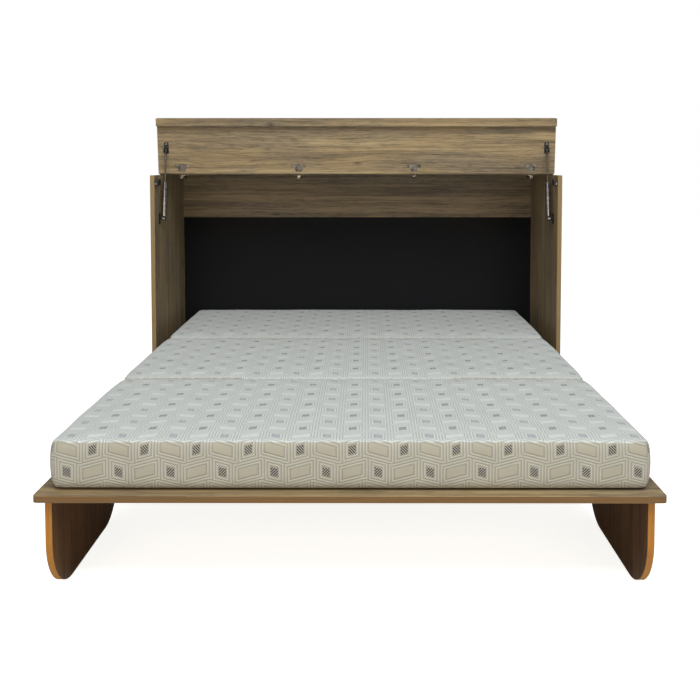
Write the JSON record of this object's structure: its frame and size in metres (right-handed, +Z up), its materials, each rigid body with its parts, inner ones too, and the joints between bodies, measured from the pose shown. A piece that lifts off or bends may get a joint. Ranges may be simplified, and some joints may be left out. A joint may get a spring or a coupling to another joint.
{
  "type": "murphy wall bed",
  "caption": "Low oak-look cabinet bed, open: its front folds out as a platform on two side legs under a three-section mattress, with a hinged top lid on gas struts.",
  "frame": {"origin": "middle of the open bed's footprint, on the floor", "axes": "+Z up, +Y from the foot of the bed towards the cabinet and the wall, +X to the right seen from the foot"},
  "size_m": [1.69, 2.083, 1.2966],
  "materials": {
    "oak_board": "satin",
    "black_board": "matte",
    "nickel": "satin",
    "chrome_rod": "polished",
    "polished_tube": "gloss",
    "zinc_steel": "satin",
    "black_plastic": "satin",
    "ticking": "matte"
  },
  "bodies": {
    "cabinet": {"side_panel_left": "oak_board", "side_panel_right": "oak_board", "rear_rail": "oak_board", "back_panel": "black_board", "fixed_top": "oak_board", "base_deck": "oak_board", "base_front_panel": "oak_board", "base_rear_rail": "oak_board", "base_centre_support": "oak_board", "deck_cleat_left": "oak_board", "deck_cleat_right": "oak_board", "hinge_arm_1": "nickel", "hinge_arm_2": "nickel", "hinge_arm_3": "nickel", "hinge_arm_4": "nickel", "strut_side_bracket_left": "black_plastic", "strut_side_bracket_right": "black_plastic", "magnetic_catch_left": "black_plastic", "magnetic_catch_right": "black_plastic", "deck_hinge_left_fixed_leaf": "zinc_steel", "deck_hinge_centre_fixed_leaf": "zinc_steel", "deck_hinge_right_fixed_leaf": "zinc_steel"},
    "platform": {"middle_platform": "oak_board", "deck_hinge_left_moving_leaf": "zinc_steel", "deck_hinge_centre_moving_leaf": "zinc_steel", "deck_hinge_right_moving_leaf": "zinc_steel", "foot_hinge_left_fixed_leaf": "zinc_steel", "foot_hinge_centre_fixed_leaf": "zinc_steel", "foot_hinge_right_fixed_leaf": "zinc_steel", "catch_plate_left": "zinc_steel", "catch_plate_right": "zinc_steel"},
    "foot": {"foot_platform": "oak_board", "leg_left": "oak_board", "leg_right": "oak_board", "leg_batten_left": "oak_board", "leg_batten_right": "oak_board", "foot_hinge_left_moving_leaf": "zinc_steel", "foot_hinge_centre_moving_leaf": "zinc_steel", "foot_hinge_right_moving_leaf": "zinc_steel"},
    "lid": {"lid_panel": "oak_board", "lid_lip": "oak_board", "hinge_cup_1": "nickel", "hinge_cup_2": "nickel", "hinge_cup_3": "nickel", "hinge_cup_4": "nickel", "strut_lid_bracket_left": "black_plastic", "strut_lid_bracket_right": "black_plastic", "strut_lid_screw_left": "zinc_steel", "strut_lid_screw_right": "zinc_steel"},
    "strut_left": {"strut_cylinder_left": "polished_tube"},
    "rod_left": {"strut_rod_left": "chrome_rod", "strut_end_left": "black_plastic"},
    "plunger_left": {"catch_plunger_left": "zinc_steel"},
    "strut_right": {"strut_cylinder_right": "polished_tube"},
    "rod_right": {"strut_rod_right": "chrome_rod", "strut_end_right": "black_plastic"},
    "plunger_right": {"catch_plunger_right": "zinc_steel"},
    "mattress_rear": {"mattress_rear": "ticking"},
    "mattress_middle": {"mattress_middle": "ticking"},
    "mattress_front": {"mattress_front": "ticking"}
  },
  "joints": [
    {"name": "lid_hinge", "type": "hinge", "parent": "cabinet", "child": "lid", "pos_m": [0, 0.5995, 1.0649], "axis": [1, 0, 0], "range_deg": [0, 84]},
    {"name": "platform_fold", "type": "hinge", "parent": "cabinet", "child": "platform", "pos_m": [0, 0.436, 0.2786], "axis": [-1, 0, 0], "range_deg": [0, 90]},
    {"name": "foot_fold", "type": "hinge", "parent": "platform", "child": "foot", "pos_m": [0, -0.3347, 0.2786], "axis": [-1, 0, 0], "range_deg": [0, 180]},
    {"name": "mattress_stow", "type": "hinge", "parent": "cabinet", "child": "mattress_rear", "pos_m": [0, 0.9535, 0.349], "axis": [-1, 0, 0], "range_deg": [0, 90], "deforming": ["mattress_rear"]},
    {"name": "mattress_middle_fold", "type": "hinge", "parent": "mattress_rear", "child": "mattress_middle", "pos_m": [0, 0.34417, 0.2807], "axis": [1, 0, 0], "range_deg": [0, 180], "deforming": ["mattress_middle"]},
    {"name": "mattress_front_fold", "type": "hinge", "parent": "mattress_middle", "child": "mattress_front", "pos_m": [0, -0.33317, 0.4073], "axis": [-1, 0, 0], "range_deg": [0, 180], "deforming": ["mattress_front"]},
    {"name": "strut_pivot_left", "type": "hinge", "parent": "cabinet", "child": "strut_left", "pos_m": [-0.807, 0.5165, 0.873], "axis": [1, 0, 0], "range_deg": [0, 14.95]},
    {"name": "strut_slide_left", "type": "slide", "parent": "strut_left", "child": "rod_left", "axis": [0, -0.1713, -0.9852], "range_m": [0, 0.1218]},
    {"name": "catch_push_left", "type": "slide", "parent": "cabinet", "child": "plunger_left", "axis": [0, 1, 0], "range_m": [0, 0.003], "stiffness_N_per_m": 400, "springref_m": -0.002},
    {"name": "strut_pivot_right", "type": "hinge", "parent": "cabinet", "child": "strut_right", "pos_m": [0.807, 0.5165, 0.873], "axis": [1, 0, 0], "range_deg": [0, 14.95]},
    {"name": "strut_slide_right", "type": "slide", "parent": "strut_right", "child": "rod_right", "axis": [0, -0.1713, -0.9852], "range_m": [0, 0.1218]},
    {"name": "catch_push_right", "type": "slide", "parent": "cabinet", "child": "plunger_right", "axis": [0, 1, 0], "range_m": [0, 0.003], "stiffness_N_per_m": 400, "springref_m": -0.002}
  ],
  "couplings": [
    {"joint": "mattress_middle_fold", "follows": "mattress_stow", "ratio": 2},
    {"joint": "mattress_front_fold", "follows": "mattress_stow", "ratio": 2},
    {"joint": "strut_pivot_left", "follows": "lid_hinge", "ratio": 0.17781},
    {"joint": "strut_slide_left", "follows": "lid_hinge", "m_per_rad": 0.083009},
    {"joint": "strut_pivot_right", "follows": "lid_hinge", "ratio": 0.17781},
    {"joint": "strut_slide_right", "follows": "lid_hinge", "m_per_rad": 0.083009}
  ]
}
